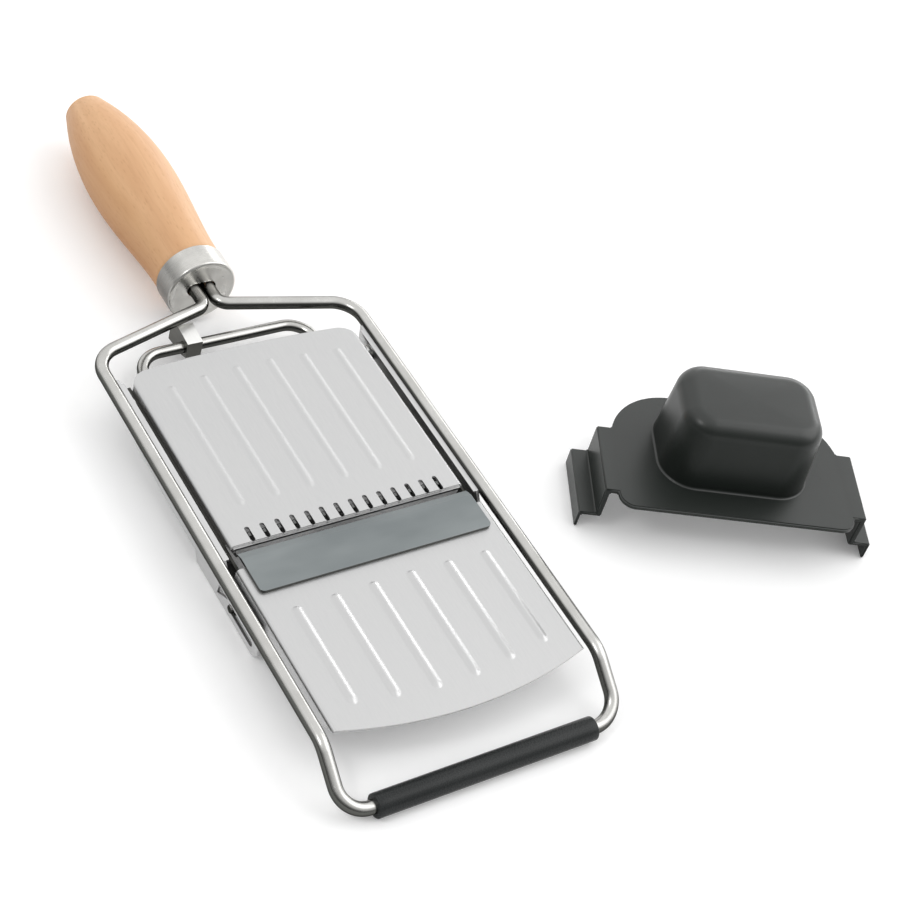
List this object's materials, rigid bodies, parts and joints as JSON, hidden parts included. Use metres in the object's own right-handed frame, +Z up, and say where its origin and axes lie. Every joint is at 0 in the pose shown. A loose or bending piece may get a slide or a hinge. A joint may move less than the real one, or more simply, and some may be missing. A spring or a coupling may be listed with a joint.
{
  "type": "mandoline slicer",
  "caption": "Hand-held mandoline slicer: wire frame, wooden handle, straight blade, tilting feed plate with a comb, sliding adjuster, and a separate food guard.",
  "frame": {"origin": "middle of the bounding box of the slicer and the guard beside it, on the surface that they lie on", "axes": "+Z up, +Y from the foot bar towards the tip of the handle, +X to the right as seen from the foot bar, towards the guard"},
  "size_m": [0.265, 0.3453, 0.0527],
  "materials": {
    "wire_steel": "polished stainless steel wire",
    "sleeve_rubber": "black, smooth",
    "beech": "light oiled beech",
    "ferrule_steel": "brushed round its axis",
    "plate_steel": "fine brushed along the plate",
    "blade_steel": "ground, slightly darker than the plates",
    "side_steel": "plain mill finish",
    "small_steel": "plain",
    "guard_plastic": "charcoal, satin with a fine texture"
  },
  "bodies": {
    "frame": {"frame_wire": "wire_steel", "foot_sleeve": "sleeve_rubber", "handle": "beech", "ferrule": "ferrule_steel", "runout_plate": "plate_steel", "blade": "blade_steel", "side_plate_left": "side_steel", "side_plate_right": "side_steel", "pivot_rod": "small_steel", "pivot_collars": "small_steel"},
    "feed": {"feed_plate": "plate_steel", "feed_arm_left": "side_steel", "feed_arm_right": "side_steel"},
    "comb": {"comb_plate": "small_steel", "comb_shaft": "small_steel", "comb_lever": "small_steel"},
    "adjuster": {"adjuster_wire": "wire_steel", "adjuster_clips": "small_steel"},
    "catch": {"catch_tab": "side_steel"},
    "guard": {"guard_body": "guard_plastic", "guard_prongs": "small_steel"}
  },
  "joints": [
    {"name": "adjuster_slide", "type": "slide", "parent": "frame", "child": "adjuster", "axis": [0, -1, 0], "range_m": [0, 0.015]},
    {"name": "feed_tilt", "type": "hinge", "parent": "frame", "child": "feed", "pos_m": [-0.076, 0.0106, 0.0136], "axis": [1, 0, 0], "range_deg": [0, 2.52]},
    {"name": "comb_raise", "type": "hinge", "parent": "feed", "child": "comb", "pos_m": [-0.076, -0.0224, 0.0142], "axis": [-1, 0, 0], "range_deg": [0, 7.2]},
    {"name": "catch_swing", "type": "hinge", "parent": "adjuster", "child": "catch", "pos_m": [-0.089, 0.0373, 0.0096], "axis": [-1, 0, 0], "range_deg": [0, 18]},
    {"name": "guard_lift", "type": "slide", "parent": "frame", "child": "guard", "axis": [0, 0, 1], "range_m": [0, 0.06]}
  ],
  "couplings": [
    {"joint": "feed_tilt", "follows": "adjuster_slide", "rad_per_m": 2.9286}
  ]
}
